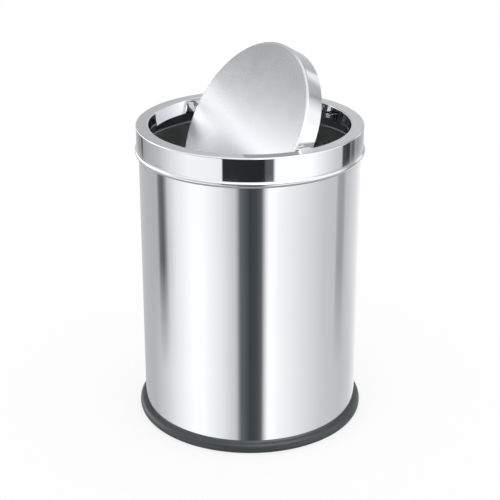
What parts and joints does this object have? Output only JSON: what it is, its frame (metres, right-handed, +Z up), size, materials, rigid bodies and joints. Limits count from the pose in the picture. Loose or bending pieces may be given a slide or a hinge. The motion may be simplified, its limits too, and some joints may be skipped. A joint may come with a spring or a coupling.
{
  "type": "countertop trash can with swing lid",
  "caption": "Round polished steel countertop bin on a dark base ring, with a lift-off cover whose hole holds a round swing lid on a cross pivot.",
  "frame": {"origin": "centre of the base ring's underside, on the table", "axes": "+Z up along the body's axis, -Y towards the front as pictured, +X to its right"},
  "size_m": [0.1898, 0.1898, 0.3111],
  "materials": {
    "polished_steel": "mirror-polished stainless steel sheet",
    "plain_steel": "plain rolled steel",
    "zinc_plate": "bright zinc plate",
    "dark_plastic": "satin dark grey moulded plastic",
    "nylon": "natural nylon"
  },
  "bodies": {
    "bin": {"body_shell": "polished_steel", "bottom_pan": "plain_steel", "base_ring": "dark_plastic"},
    "cover": {"cover_rim": "polished_steel", "pivot_bracket_front": "polished_steel", "pivot_bracket_back": "polished_steel", "pivot_bush_front": "nylon", "pivot_bush_back": "nylon"},
    "lid": {"lid_pan": "polished_steel", "pivot_lug_front": "plain_steel", "pivot_lug_back": "plain_steel", "pivot_screw_front": "zinc_plate", "pivot_screw_back": "zinc_plate", "pivot_nuts": "zinc_plate", "weight_bar": "plain_steel", "weight_studs": "zinc_plate", "weight_sleeves": "zinc_plate", "weight_washers": "zinc_plate", "weight_nuts": "zinc_plate"}
  },
  "joints": [
    {"name": "cover_lift", "type": "slide", "parent": "bin", "child": "cover", "axis": [0, 0, 1], "range_m": [0, 0.12]},
    {"name": "lid_swing", "type": "hinge", "parent": "cover", "child": "lid", "pos_m": [0, 0, 0.244], "axis": [0.5344, -0.8453, 0], "continuous": true}
  ]
}
